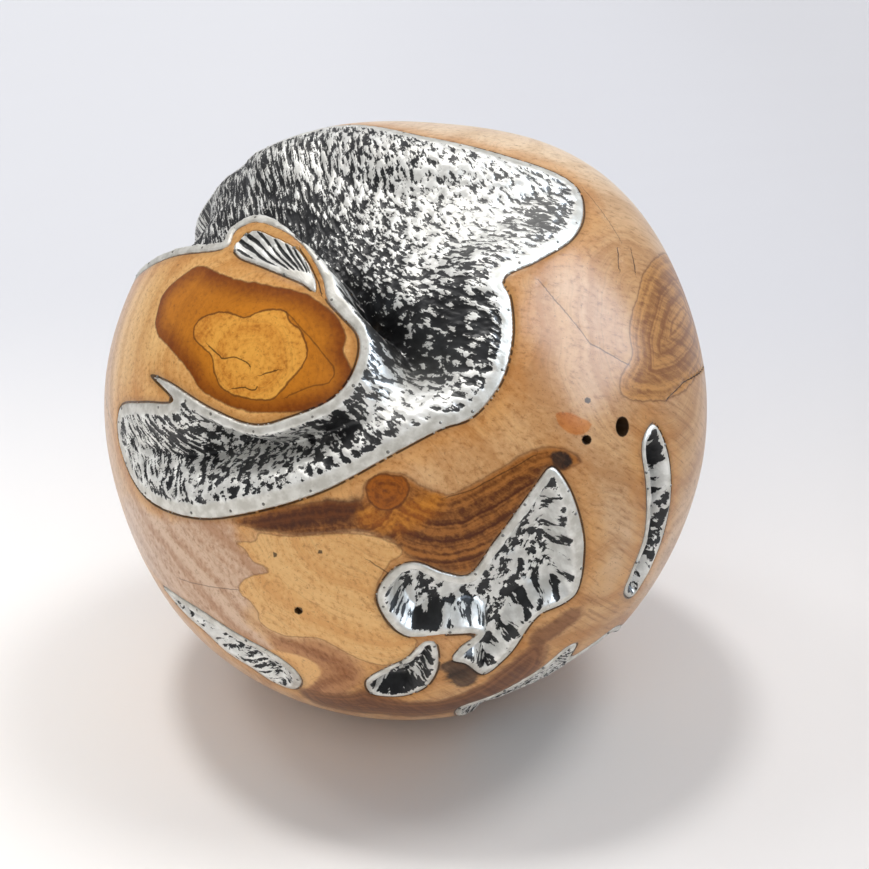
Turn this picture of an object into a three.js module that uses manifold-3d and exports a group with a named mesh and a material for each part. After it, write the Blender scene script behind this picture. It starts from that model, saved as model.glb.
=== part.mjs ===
// A decorative ball turned from one teak root. Its natural hollows are lined with beaten aluminium sheet
// that lies in the wood, flush with the ball at a smooth rim.
// Millimetres, +Z up. The origin is the middle of the flat spot that the ball rests on.
import * as THREE from "three";
import { mergeVertices } from "three/addons/utils/BufferGeometryUtils.js";
import Module from "manifold-3d";

const wasm = await Module();
wasm.setup();

// Driving dimensions
const BALL_RADIUS = 250;
const FLAT_RADIUS = 48; // of the sanded spot underneath, which keeps the ball from rolling
const SHEET = 2; // thickness of the lining, measured towards the ball's centre
const FIT_GAP = 0.4; // between lining and wood
const BALL_FACETS = 6; // cuts along each edge of the icosahedron that the ball is made from
const OUTLINE_CUTS = 2; // straight pieces from one drawn point of an outline to the next
const CENTRE_HEIGHT = Math.sqrt(BALL_RADIUS ** 2 - FLAT_RADIUS ** 2);

// The solids that cut a hollow reach from deep inside the ball to far outside it, because their flat ends
// run straight across the hollow.
const CUT_INNER = 0.05 * BALL_RADIUS;
const CUT_FOOT = 0.55 * BALL_RADIUS;
const CUT_OUTER = 4 * BALL_RADIUS;

// Hollows are drawn on a plane through the ball's centre, as [right, up] from the centre, the way that an eye
// in front of the ball and above it sees them. FAR marks a point on the side of the ball away from the eye.
const EYE_DISTANCE = 1500;
const EYE_ELEVATION = THREE.MathUtils.degToRad(25);
const FAR = "far";
const RIGHT = new THREE.Vector3(1, 0, 0);
const TO_EYE = new THREE.Vector3(0, -Math.cos(EYE_ELEVATION), Math.sin(EYE_ELEVATION));
const UP = new THREE.Vector3().crossVectors(TO_EYE, RIGHT);

// Where the hand-turned ball stands out from a true sphere, or falls short of it
const SWELLS = [
  { at: [165, 190], height: 9, reach: 95 },
  { at: [20, 252], height: -7, reach: 80 },
  { at: [-238, -86], height: -5, reach: 90 },
  { at: [225, -110], height: -4, reach: 90 },
];

// Each hollow has its outline, the width of its flush rim and of the wall inside that, the depth that the
// wall reaches, deeper gouges in its floor, and the spacing of the floor's facets. A brow is a stretch of the
// outline, from its first point to the end of the list, that drops more steeply.
const HOLLOWS = {
  main_hollow_lining: {
    outline: [
      // lower arm, from its left end along its outer edge
      [-195, 14], [-221, 13], [-240, 8], [-242, -18], [-224, -63], [-178, -85], [-126, -80], [-67, -62],
      [-12, -33], [32, -10], [55, -2], [80, 26], [91, 64], [89, 100], [83, 115],
      // right lobe and the edge over the top
      [109, 129], [140, 148], [148, 168], [139, 190], [83, 218], [14, 239], [-55, 247], [-107, 230],
      // over the far side and round behind the knob
      [-124, 216, FAR], [-146, 199, FAR], [-168, 170, FAR], [-172, 148, FAR], [-180, 120, FAR],
      [-212, 98, FAR],
      // edge of the knob, ending in a thin tongue
      [-230, 116], [-196, 134], [-148, 143], [-142, 156], [-127, 163], [-108, 158], [-91, 148], [-81, 136],
      [-70, 115], [-66, 98], [-54, 84], [-40, 67], [-42, 44], [-59, 18], [-101, -1], [-126, -6], [-161, 7],
      [-198, 30], [-213, 35],
    ],
    rim: 9, wall: 48, depth: 8, step: 21,
    brow: { first: 24, rim: 7, wall: 26 },
    gouges: [
      // the broad bowl
      { at: [-40, 172], depth: 34, reach: 92 },
      { at: [-138, 178], depth: 36, reach: 80 },
      { at: [-196, 146], depth: 34, reach: 60 },
      { at: [-190, 158, FAR], depth: 18, reach: 50 },
      // the crevice beside the knob
      { at: [-74, 128], depth: 16, reach: 36 },
      { at: [-46, 102], depth: 22, reach: 38 },
      { at: [-14, 76], depth: 26, reach: 38 },
      { at: [18, 46], depth: 20, reach: 36 },
      // the lower arm
      { at: [-182, -18], depth: 32, reach: 44 },
      { at: [-122, -24], depth: 32, reach: 44 },
      { at: [-62, -4], depth: 26, reach: 44 },
    ],
  },
  knob_notch_lining: {
    outline: [
      [-144, 143], [-140, 134], [-124, 127], [-102, 118], [-86, 111], [-75, 104],
      [-74, 113], [-84, 134], [-94, 144], [-111, 152], [-127, 157],
    ],
    rim: 2.5, wall: 7, depth: 4, step: 24, gouges: [],
  },
  front_hollow_lining: {
    outline: [
      [123, -41], [136, -55], [149, -91], [151, -114], [144, -148], [133, -157], [112, -167], [86, -201],
      [66, -216], [50, -207], [39, -204], [47, -192], [59, -183], [32, -183], [1, -184], [-17, -169],
      [-24, -148], [-10, -127], [8, -121], [34, -130], [53, -132], [74, -105], [109, -57],
    ],
    rim: 6, wall: 11, depth: 14, step: 21,
    gouges: [
      { at: [116, -118], depth: 16, reach: 38 },
      { at: [14, -152], depth: 15, reach: 28 },
      { at: [66, -160], depth: 12, reach: 26 },
    ],
  },
  leaf_hollow_lining: {
    outline: [
      [16, -188], [25, -188], [29, -201], [27, -214], [17, -227], [-3, -234], [-28, -232], [-33, -221],
      [-16, -210], [1, -202],
    ],
    rim: 4, wall: 9, depth: 12, step: 20,
    gouges: [{ at: [-12, -222], depth: 6, reach: 18 }],
  },
  side_slot_lining: {
    outline: [
      [208, -5], [219, -22], [225, -64], [218, -105], [205, -135], [193, -152], [185, -149], [191, -132],
      [202, -102], [203, -61], [199, -22],
    ],
    rim: 4, wall: 11, depth: 20, step: 24, gouges: [],
  },
  left_foot_lining: {
    outline: [
      [-205, -143], [-175, -160], [-138, -183], [-109, -199], [-92, -212], [-86, -222], [-93, -228],
      [-110, -222], [-130, -209], [-149, -197], [-167, -181], [-186, -165], [-198, -152],
    ],
    rim: 6, wall: 14, depth: 9, step: 28, gouges: [],
  },
  low_right_lining: {
    outline: [
      [178, -177], [156, -192], [140, -201], [145, -190], [136, -193], [115, -210], [76, -232], [44, -244],
      [62, -238, FAR], [100, -219, FAR], [135, -198, FAR], [168, -178, FAR],
    ],
    rim: 4, wall: 12, depth: 7, step: 34, gouges: [],
  },
  back_hollow_lining: {
    outline: [
      [-50, 146, FAR], [-34, 182, FAR], [14, 198, FAR], [68, 190, FAR], [112, 158, FAR], [132, 108, FAR],
      [116, 78, FAR], [84, 84, FAR], [48, 116, FAR], [-2, 124, FAR],
    ],
    rim: 8, wall: 20, depth: 18, step: 34,
    gouges: [{ at: [78, 140, FAR], depth: 14, reach: 50 }],
  },
  back_leaf_lining: {
    outline: [
      [-150, 66, FAR], [-132, 72, FAR], [-104, 44, FAR], [-82, 4, FAR], [-84, -14, FAR], [-104, -4, FAR],
      [-132, 30, FAR],
    ],
    rim: 5, wall: 13, depth: 16, step: 26, gouges: [],
  },
};

// Finishes of the two materials
const teak = new THREE.MeshStandardMaterial({ color: 0xb98550, roughness: 0.35, metalness: 0 });
const aluminium = new THREE.MeshStandardMaterial({ color: 0x9c9c98, roughness: 0.4, metalness: 1 });

// The direction, from the ball's centre, of the point that the eye sees at [right, up] on the drawing plane.
// A point drawn outside the ball's outline falls on that outline.
function sighted([right, up, side]) {
  const eye = TO_EYE.clone().multiplyScalar(EYE_DISTANCE);
  const look = RIGHT.clone().multiplyScalar(right).addScaledVector(UP, up).sub(eye).normalize();
  const nearest = -eye.dot(look);
  const halfChord = Math.sqrt(Math.max(0, nearest ** 2 - EYE_DISTANCE ** 2 + BALL_RADIUS ** 2));
  const along = side === FAR ? nearest + halfChord : nearest - halfChord;
  return eye.addScaledVector(look, along).normalize();
}

// Distance over the ball between two directions
const arc = (a, b) => BALL_RADIUS * Math.acos(THREE.MathUtils.clamp(a.dot(b), -1, 1));

// Sum of round bumps, each highest at its own place and dying away at its reach
function bumps(list, direction, size) {
  return list.reduce((sum, b) => sum + b[size] * Math.exp(-((arc(direction, b.place) / b.reach) ** 2)), 0);
}

SWELLS.forEach((swell) => (swell.place = sighted(swell.at)));
const ballRadius = (direction) => BALL_RADIUS + bumps(SWELLS, direction, "height");

// A flat map of the ball about a middle direction, on which distances from the middle are true
function chartAbout(middle) {
  const across = new THREE.Vector3().crossVectors(new THREE.Vector3(0, 0, 1), middle).normalize();
  const along = new THREE.Vector3().crossVectors(middle, across);
  return {
    flatten(direction) {
      const flat = new THREE.Vector2(direction.dot(across), direction.dot(along));
      return flat.setLength(arc(direction, middle));
    },
    unroll(x, y) {
      const angle = Math.hypot(x, y) / BALL_RADIUS;
      const sideways = across.clone().multiplyScalar(x).addScaledVector(along, y).normalize();
      return middle.clone().multiplyScalar(Math.cos(angle)).addScaledVector(sideways, Math.sin(angle));
    },
  };
}

// Whether a point of the map is inside a closed outline: a line from it to the right crosses the outline
// an odd number of times.
function isInside(point, outline) {
  const crossings = outline.filter((start, i) => {
    const end = outline[(i + 1) % outline.length];
    const crosses = start.y > point.y !== end.y > point.y;
    return crosses && point.x < start.x + ((end.x - start.x) * (point.y - start.y)) / (end.y - start.y);
  });
  return crossings.length % 2 === 1;
}

// Distance from a point of the map to the nearest of some straight pieces
function distanceTo(point, pieces) {
  const distances = pieces.map(([start, end]) => {
    const run = end.clone().sub(start);
    const out = point.clone().sub(start);
    const share = THREE.MathUtils.clamp(out.dot(run) / run.lengthSq(), 0, 1);
    return out.addScaledVector(run, -share).length();
  });
  return Math.min(...distances);
}

// An anticlockwise outline moved inwards on the map, each straight piece by the same distance
function shrunk(outline, by) {
  const inwards = outline.map((point, i) => {
    const run = outline[(i + 1) % outline.length].clone().sub(point).normalize();
    return new THREE.Vector2(-run.y, run.x);
  });
  return outline.map((point, i) => {
    const before = inwards[(i + outline.length - 1) % outline.length];
    const mitre = by / Math.max(0.3, 1 + before.dot(inwards[i]));
    return point.clone().addScaledVector(before, mitre).addScaledVector(inwards[i], mitre);
  });
}

// Lays a hollow's outline, anticlockwise, and its floor out on its own map. The floor's depth is the even
// depth and the gouges, times a smooth step from each edge's rim over its wall.
function layOut(hollow) {
  const points = hollow.outline.map(sighted);
  const curve = new THREE.CatmullRomCurve3(points, true, "centripetal");
  const directions = curve.getPoints(points.length * OUTLINE_CUTS).slice(0, -1).map((p) => p.normalize());
  const middle = directions.reduce((sum, d) => sum.add(d), new THREE.Vector3()).normalize();
  const chart = chartAbout(middle);
  const drawn = directions.map((d) => chart.flatten(d));
  const pieces = drawn.map((start, i) => [start, drawn[(i + 1) % drawn.length]]);
  const cut = OUTLINE_CUTS * (hollow.brow?.first ?? points.length);
  const edges = [{ rim: hollow.rim, wall: hollow.wall, pieces: pieces.slice(0, cut) }];
  if (hollow.brow) edges.push({ ...hollow.brow, pieces: pieces.slice(cut) });
  const outline = THREE.ShapeUtils.isClockWise(drawn) ? drawn.toReversed() : drawn;
  const gouges = hollow.gouges.map((g) => ({ ...g, place: sighted(g.at) }));
  const floorRadius = (x, y) => {
    const direction = chart.unroll(x, y);
    const point = new THREE.Vector2(x, y);
    if (!isInside(point, outline)) return ballRadius(direction);
    const steps = edges.map((edge) =>
      THREE.MathUtils.smoothstep(distanceTo(point, edge.pieces), edge.rim, edge.rim + edge.wall),
    );
    const share = steps.reduce((product, step) => product * step, 1);
    return ballRadius(direction) - share * (hollow.depth + bumps(gouges, direction, "depth"));
  };
  return { chart, outline, floorRadius, step: hollow.step };
}

// A closed three.js geometry as a solid that can be cut and joined
function solid(geometry) {
  const bare = geometry.clone();
  const extras = Object.keys(bare.attributes).filter((name) => name !== "position");
  extras.forEach((name) => bare.deleteAttribute(name));
  const merged = mergeVertices(bare, 1e-3);
  return new wasm.Manifold(
    new wasm.Mesh({
      numProp: 3,
      vertProperties: new Float32Array(merged.attributes.position.array),
      triVerts: new Uint32Array(merged.index.array),
    }),
  );
}

// A solid back as a three.js geometry
function geometryOf(made) {
  const mesh = made.getMesh();
  const geometry = new THREE.BufferGeometry();
  geometry.setAttribute("position", new THREE.BufferAttribute(mesh.vertProperties, 3));
  geometry.setIndex(new THREE.BufferAttribute(mesh.triVerts, 1));
  geometry.computeVertexNormals();
  return geometry;
}

// Moves every vertex of a geometry to where the function puts it.
function reshape(geometry, place) {
  const position = geometry.attributes.position;
  const vertex = new THREE.Vector3();
  for (let i = 0; i < position.count; i++) {
    position.setXYZ(i, ...place(vertex.fromBufferAttribute(position, i)).toArray());
  }
  return geometry;
}

// The whole ball, before any hollow is cut
function ballSolid() {
  const facets = new THREE.IcosahedronGeometry(1, BALL_FACETS);
  return solid(
    reshape(facets, (vertex) => {
      const direction = vertex.clone().normalize();
      return direction.multiplyScalar(ballRadius(direction));
    }),
  );
}

// A solid with the outline's section that widens outwards from the ball's centre
function outlineWedge(chart, outline) {
  const count = outline.length;
  const positions = [];
  [CUT_FOOT, CUT_OUTER].forEach((radius) =>
    outline.forEach((p) => positions.push(...chart.unroll(p.x, p.y).multiplyScalar(radius).toArray())),
  );
  const faces = [];
  THREE.ShapeUtils.triangulateShape(outline, []).forEach(([a, b, c]) => {
    faces.push(a, c, b, a + count, b + count, c + count);
  });
  outline.forEach((_, a) => {
    const b = (a + 1) % count;
    faces.push(a, b, b + count, a, b + count, a + count);
  });
  const geometry = new THREE.BufferGeometry();
  geometry.setAttribute("position", new THREE.Float32BufferAttribute(positions, 3));
  geometry.setIndex(faces);
  return solid(geometry);
}

// A solid block under the hollow's floor, with its top set off from the floor by a distance
function floorBlock({ chart, outline, floorRadius, step }, offset) {
  const box = new THREE.Box2().setFromPoints(outline).expandByScalar(step);
  const size = box.getSize(new THREE.Vector2());
  const middle = box.getCenter(new THREE.Vector2());
  const cells = [Math.ceil(size.x / step), Math.ceil(size.y / step)];
  const block = new THREE.BoxGeometry(size.x, size.y, 1, ...cells, 1);
  return solid(
    reshape(block, ({ x, y, z }) => {
      const [u, v] = [x + middle.x, y + middle.y];
      return chart.unroll(u, v).multiplyScalar(z > 0 ? floorRadius(u, v) + offset : CUT_INNER);
    }),
  );
}

// What is cut from the wood for a hollow: room for the lining as well as the hollow itself
function hollowCut(laid) {
  return outlineWedge(laid.chart, laid.outline).subtract(floorBlock(laid, -SHEET - FIT_GAP));
}

// The beaten sheet that lies in a hollow
function liningSolid(laid) {
  const wedge = outlineWedge(laid.chart, shrunk(laid.outline, FIT_GAP));
  return wedge.intersect(floorBlock(laid, 0)).subtract(floorBlock(laid, -SHEET));
}

// Everything below the flat spot, which is sanded away
function groundSolid() {
  const depth = BALL_RADIUS;
  const ground = new THREE.BoxGeometry(2 * BALL_RADIUS, 2 * BALL_RADIUS, depth);
  return solid(ground.translate(0, 0, -CENTRE_HEIGHT - depth / 2));
}

function piece(name, made, material) {
  const mesh = new THREE.Mesh(geometryOf(made), material);
  mesh.name = name;
  return mesh;
}

const ball = new THREE.Group();
ball.position.z = CENTRE_HEIGHT;

const laidOut = Object.entries(HOLLOWS).map(([name, hollow]) => [name, layOut(hollow)]);
const uncut = ballSolid().subtract(groundSolid());
const wood = laidOut.reduce((left, [, laid]) => left.subtract(hollowCut(laid)), uncut);
ball.add(piece("teak_ball", wood, teak));
laidOut.forEach(([name, laid]) => ball.add(piece(name, liningSolid(laid), aluminium)));

const part = new THREE.Group();
part.add(ball);
export default part;
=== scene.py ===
"""Looks of a teak root ball whose hollows are lined with beaten aluminium sheet."""

import math

import bpy
import numpy as np
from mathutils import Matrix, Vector


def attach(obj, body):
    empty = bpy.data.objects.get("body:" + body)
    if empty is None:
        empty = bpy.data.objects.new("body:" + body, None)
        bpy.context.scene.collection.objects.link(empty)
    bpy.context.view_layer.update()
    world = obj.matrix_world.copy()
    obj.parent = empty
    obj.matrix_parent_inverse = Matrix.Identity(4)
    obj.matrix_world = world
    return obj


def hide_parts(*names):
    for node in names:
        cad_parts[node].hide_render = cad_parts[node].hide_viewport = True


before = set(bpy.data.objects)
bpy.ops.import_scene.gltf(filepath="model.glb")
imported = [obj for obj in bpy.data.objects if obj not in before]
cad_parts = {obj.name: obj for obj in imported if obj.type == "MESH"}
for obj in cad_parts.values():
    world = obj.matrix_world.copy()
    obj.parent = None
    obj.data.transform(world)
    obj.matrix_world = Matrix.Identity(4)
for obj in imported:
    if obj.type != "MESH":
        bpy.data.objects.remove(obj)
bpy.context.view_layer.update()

# Sizes in millimetres, as in the part. Meshes are scaled to metres when they are made.
MM = 0.001
BALL_RADIUS = 250.0
FLAT_RADIUS = 48.0
CENTRE_HEIGHT = math.sqrt(BALL_RADIUS**2 - FLAT_RADIUS**2)

# Thickness of the sheets, their gap to the hollow's outline, the distance up to which outlines are measured,
# and a length that is as good as nothing
SHEET = 1.3
EDGE_GAP = 0.5
FIELD_MARGIN = 40.0
TINY = 1e-9

# The eye that the outlines are drawn for, and its picture plane through the ball's centre
EYE_DISTANCE = 1500.0
EYE_ELEVATION = math.radians(25)
RIGHT = np.array([1.0, 0.0, 0.0])
TO_EYE = np.array([0.0, -math.cos(EYE_ELEVATION), math.sin(EYE_ELEVATION)])
UP = np.cross(TO_EYE, RIGHT)
FAR = True

# Points of a curve from one drawn point of an outline to the next
CURVE_CUTS = 6

# Broad swells of the ball. These and all other bumps are a place (right, up), a height and a reach.
SWELLS = [
    ((165, 190), 9, 95),
    ((20, 252), -7, 80),
    ((-238, -86), -5, 90),
    ((225, -110), -4, 90),
]

# Each hollow's outline points (right, up), rim and wall widths, depth and gouges, then its looks: mesh
# spacing, length and width of the flecks, the turn, sweep or fan that they follow on the hollow's map,
# and their lightness, which is partly painted light and shade. Bumps named rims and walls widen an edge,
# the bumps of painted light and shade lighten or darken the flecks, the grey patches grey the black
# between them, on the lit ledge as a painted sheen, and blots makes them round. A darkening value darkens
# the sheet just inside its rim. From a brow's first outline point on, the edge has a rim and a wall of its
# own.
HOLLOWS = {
    "main_hollow_lining": dict(
        outline=[
            (-195, 14), (-221, 13), (-240, 8), (-242, -18), (-224, -63), (-178, -85), (-126, -80),
            (-67, -62), (-12, -33), (32, -10), (55, -2), (80, 26), (91, 64), (89, 100), (83, 115),
            (109, 129), (140, 148), (148, 168), (139, 190), (83, 218), (14, 239), (-55, 247),
            (-107, 230), (-124, 216, FAR), (-146, 199, FAR), (-168, 170, FAR), (-172, 148, FAR),
            (-180, 120, FAR), (-212, 98, FAR), (-230, 116), (-196, 134), (-148, 143), (-142, 156),
            (-127, 163), (-108, 158), (-91, 148), (-81, 136), (-70, 115), (-66, 98), (-54, 84),
            (-40, 67), (-42, 44), (-59, 18), (-101, -1), (-126, -6), (-161, 7), (-198, 30), (-213, 35),
        ],
        rim=9, wall=48, depth=8, rims=[((-130, -84), 3, 80)],
        brow=dict(
            first=24, rim=7, wall=12,
            rims=[((-95, 146), -6, 26), ((-62, 92), 4, 22)],
            walls=[((0, 30), 30, 42)],
        ),
        gouges=[
            ((-40, 172), 34, 92), ((-138, 178), 36, 80), ((-196, 146), 34, 60),
            ((-190, 158, FAR), 18, 50), ((-76, 134), 20, 26), ((-50, 104), 30, 26), ((-24, 78), 34, 26),
            ((4, 54), 28, 26), ((28, 30), 18, 26), ((-182, -18), 32, 44), ((-122, -24), 32, 44),
            ((-62, -4), 26, 44),
        ],
        spacing=1.5, fleck=(10.0, 4.6), sweep=(-0.57, 0.0029), light=-0.04,
        # Grey patches on the black: at the tip of the upper lobe, and on the lit ledge as a painted sheen
        worn=[((100, 176), 0.75, 55), ((2, 26), 0.5, 34)],
        blots=[((-140, -26), 1.2, 80), ((40, 30), 0.6, 50)],
        # Painted light and shade on the flecks: lighter at the upper right and on the ledge, darker in the
        # crevice, on the bowl's right wall, at the upper left and at the lobe's tip
        shade=[
            ((70, 190), 0.16, 70), ((-30, 222), 0.06, 60), ((-140, 200), -0.06, 60),
            ((-196, 165), -0.10, 60), ((-70, 120), -0.10, 45), ((114, 168), -0.26, 24),
            ((-10, 66), -0.12, 34), ((64, 72), -0.14, 42), ((2, 26), 0.22, 30), ((-60, -4), -0.04, 45),
            ((-130, -24), 0.05, 50),
        ],
    ),
    "knob_notch_lining": dict(
        outline=[
            (-144, 143), (-140, 134), (-124, 127), (-102, 118), (-86, 111), (-75, 104),
            (-74, 113), (-84, 134), (-94, 144), (-111, 152), (-127, 157),
        ],
        rim=2.5, wall=7, depth=4, rims=[((-84, 110), 7, 24)],
        brow=dict(first=5, rim=0.6, wall=4),
        spacing=0.8, fleck=(40.0, 2.7), fan=(-72, 100), light=-0.08,
    ),
    "front_hollow_lining": dict(
        outline=[
            (123, -41), (136, -55), (149, -91), (151, -114), (144, -148), (133, -157), (112, -167),
            (86, -201), (66, -216), (50, -207), (39, -204), (47, -192), (59, -183), (32, -183),
            (1, -184), (-17, -169), (-24, -148), (-10, -127), (8, -121), (34, -130), (53, -132),
            (74, -105), (109, -57),
        ],
        rim=6, wall=11, depth=14, rims=[((142, -95), 4, 36)],
        gouges=[((116, -118), 16, 38), ((14, -152), 15, 28), ((66, -160), 12, 26)],
        spacing=1.0, fleck=(13.0, 11.0), turn=0.9, light=0.04, sooty=0.06,
    ),
    "leaf_hollow_lining": dict(
        outline=[
            (16, -188), (25, -188), (29, -201), (27, -214), (17, -227), (-3, -234), (-28, -232),
            (-33, -221), (-16, -210), (1, -202),
        ],
        rim=4, wall=9, depth=12, gouges=[((-12, -222), 6, 18)],
        spacing=0.8, fleck=(11.0, 9.0), turn=0.5, light=0.0, sooty=0.16,
    ),
    "side_slot_lining": dict(
        outline=[
            (208, -5), (219, -22), (225, -64), (218, -105), (205, -135), (193, -152), (185, -149),
            (191, -132), (202, -102), (203, -61), (199, -22),
        ],
        rim=4, wall=11, depth=20,
        spacing=0.9, fleck=(16.0, 8.0), turn=1.5, light=-0.12, sooty=0.08,
        # Painted light and shade on the flecks: the slot's right half lighter, its left half darker
        shade=[
            ((220, -44), 0.26, 13), ((224, -72), 0.26, 13), ((218, -104), 0.26, 13), ((205, -132), 0.20, 9),
            ((207, -38), -0.14, 13), ((208, -84), -0.10, 13), ((204, -112), -0.14, 13),
        ],
    ),
    "left_foot_lining": dict(
        outline=[
            (-205, -143), (-175, -160), (-138, -183), (-109, -199), (-92, -212), (-86, -222), (-93, -228),
            (-110, -222), (-130, -209), (-149, -197), (-167, -181), (-186, -165), (-198, -152),
        ],
        rim=6, wall=14, depth=9,
        spacing=1.0, fleck=(11.0, 4.2), turn=-0.2, light=0.02,
    ),
    "low_right_lining": dict(
        outline=[
            (178, -177), (156, -192), (140, -201), (145, -190), (136, -193), (115, -210), (76, -232),
            (44, -244), (62, -238, FAR), (100, -219, FAR), (135, -198, FAR), (168, -178, FAR),
        ],
        rim=4, wall=12, depth=7,
        spacing=1.2, fleck=(9.0, 4.0), turn=0.6, light=-0.08,
    ),
    "back_hollow_lining": dict(
        outline=[
            (-50, 146, FAR), (-34, 182, FAR), (14, 198, FAR), (68, 190, FAR), (112, 158, FAR),
            (132, 108, FAR), (116, 78, FAR), (84, 84, FAR), (48, 116, FAR), (-2, 124, FAR),
        ],
        rim=8, wall=20, depth=18, gouges=[((78, 140, FAR), 14, 50)],
        spacing=1.6, fleck=(10.0, 4.6), turn=0.7, light=0.0,
    ),
    "back_leaf_lining": dict(
        outline=[
            (-150, 66, FAR), (-132, 72, FAR), (-104, 44, FAR), (-82, 4, FAR), (-84, -14, FAR),
            (-104, -4, FAR), (-132, 30, FAR),
        ],
        rim=5, wall=13, depth=16,
        spacing=1.3, fleck=(10.0, 4.6), turn=-0.9, light=0.0,
    ),
}

# Upper edge of the dark band across the front, from left to right
DUSK_TOP = [
    (-145, -87), (-120, -79), (-91, -74), (-65, -71), (-38, -69), (-31, -54), (-16, -46), (-4, -47),
    (7, -54), (25, -63), (36, -65), (50, -60), (76, -45), (105, -29), (122, -25), (138, -29),
]

# Outlines of the patches of the wood's figure. The drape only leads streaks.
FIGURES = {
    "heart": [
        (-208, 72), (-204, 100), (-191, 115), (-172, 126), (-151, 118), (-126, 112), (-101, 108),
        (-79, 101), (-59, 85), (-50, 69), (-52, 55), (-44, 39), (-50, 19), (-75, 8), (-101, 4),
        (-127, 4), (-149, 11), (-170, 23), (-178, 35), (-198, 60),
    ],
    "gold": [
        (-177, 72), (-170, 83), (-146, 88), (-136, 83), (-113, 90), (-100, 88), (-96, 80), (-86, 72),
        (-83, 49), (-98, 29), (-110, 16), (-124, 14), (-149, 21), (-159, 35), (-162, 52), (-175, 64),
    ],
    "umber": [
        (193, 100), (188, 72), (190, 51), (185, 42), (180, 30), (182, 18), (197, 14), (220, 15), (239, 27),
        (247, 64), (235, 98), (219, 128), (201, 125),
    ],
    "dusk": DUSK_TOP + [
        (148, -37), (130, -44), (120, -43), (109, -57), (74, -105), (53, -130), (34, -128), (8, -119),
        (-11, -104), (-38, -96), (-65, -97), (-92, -98), (-121, -94),
    ],
    "drape": DUSK_TOP + [
        (160, -60), (150, -190),
        (0, -210), (-130, -190),
    ],
    "soot": [
        (-136, -88), (-110, -80), (-80, -73), (-50, -69), (-34, -70), (-35, -80), (-55, -87), (-85, -92),
        (-110, -95),
    ],
    "ember": [(-34, -76), (-8, -76), (14, -66), (34, -68), (24, -84), (4, -94), (-18, -98), (-36, -92)],
    "knot": [(-28, -51), (-4, -49), (3, -59), (-3, -72), (-17, -78), (-31, -69)],
    "amber": [
        (-122, -98), (-92, -100), (-65, -98), (-38, -97), (-11, -104), (-2, -112), (-14, -124),
        (-24, -145), (-21, -163), (-8, -180), (10, -187), (0, -202), (-17, -208), (-38, -203),
        (-54, -194), (-73, -185), (-93, -184), (-109, -180), (-122, -170), (-123, -163), (-130, -154),
        (-138, -148), (-139, -141), (-129, -133), (-115, -130), (-115, -127), (-127, -120), (-134, -111),
        (-142, -105), (-124, -103),
    ],
    "lobe": [(-114, -195), (-95, -198), (-78, -204), (-71, -212), (-76, -222), (-86, -227), (-92, -222)],
    "band": [
        (-114, -184), (-93, -186), (-73, -187), (-54, -196), (-40, -205), (-36, -216), (-44, -228),
        (-60, -236), (-80, -232), (-100, -206),
    ],
    "orange": [(125, 3), (140, 3), (157, -6), (149, -14), (135, -12)],
    "bark": [(32, -205), (46, -204), (62, -212), (60, -222), (44, -226), (34, -218)],
    "tip": [(122, -30), (136, -30), (140, -39), (131, -44), (124, -39)],
    "smudge": [(146, -159), (120, -172), (102, -188), (112, -192), (132, -180), (148, -167)],
    "mauve": [
        (-239, -69), (-205, -83), (-142, -90), (-138, -107), (-116, -128), (-111, -141), (-127, -153),
        (-134, -170), (-116, -187), (-100, -203), (-138, -182), (-172, -162), (-205, -141), (-234, -103),
    ],
    "stripe": [
        (-88, -229), (-54, -232), (-33, -229), (-8, -237), (29, -237), (54, -229), (80, -212), (96, -199),
        (113, -187), (117, -203), (80, -233), (29, -249), (-21, -249), (-71, -241),
    ],
}

# Cracks and fine contour lines as a darkness, a depth and a polyline, and holes as a place, a half width
# and a half height
CRACKS = [
    (0.6, 0.5, [(113, 113), (128, 95), (156, 61), (186, 44)]),
    (0.95, 1.0, [(220, 15), (234, 29), (250, 43)]),
    (0.9, 0.8, [(176, 138), (178, 123)]),
    (0.8, 0.8, [(187, 136), (191, 119)]),
    (0.9, 0.6, [(-88, 141), (-79, 127), (-72, 112), (-70, 104)]),
    (0.5, 0.3, [(146, 186), (177, 146)]),
    (0.6, 0.4, [(-252, 17), (-247, -7)]),
    (0.8, 0.2, [
        (-164, 60), (-153, 49), (-142, 50), (-132, 46), (-125, 37), (-122, 28), (-126, 22), (-134, 25),
        (-143, 24),
    ]),
    (0.5, 0.0, [
        (-99, 88), (-86, 73), (-78, 64), (-71, 56), (-60, 42), (-59, 35), (-64, 28), (-78, 26), (-98, 18),
    ]),
    (0.8, 0.3, [(-119, 36), (-108, 39)]),
    (0.6, 0.0, [(36, -67), (56, -61), (80, -48), (108, -32)]),
    (0.5, 0.3, [(-140, -145), (-166, -142), (-190, -136)]),
    (0.6, 0.3, [(-30, -120), (-8, -135), (-24, -150)]),
]
HOLES = [
    ((152, -19), 4.0, 4.0), ((182, -8), 5.5, 8.5), ((153, 14), 2.5, 2.5), ((-89, -162), 3.5, 3.0),
    ((-109, -115), 1.8, 2.2), ((-71, -113), 1.8, 1.8),
]

# Middles of the growth rings, the distance over which their rings merge, the middle of the sap wood at the
# knob, and the pale wood at the top, which is partly paler wood and partly a painted sheen from overhead
PITHS = [(-128, 52), (214, 64), (-16, -62), (90, -300), (-60, 260, FAR), (120, -60, FAR)]
RING_MERGE = 18
KNOB = (-165, 70)
PALE_SHEEN = [((40, 244), 1.2, 100), ((150, 215), 0.8, 70), ((205, 165), 0.5, 50)]

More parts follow.
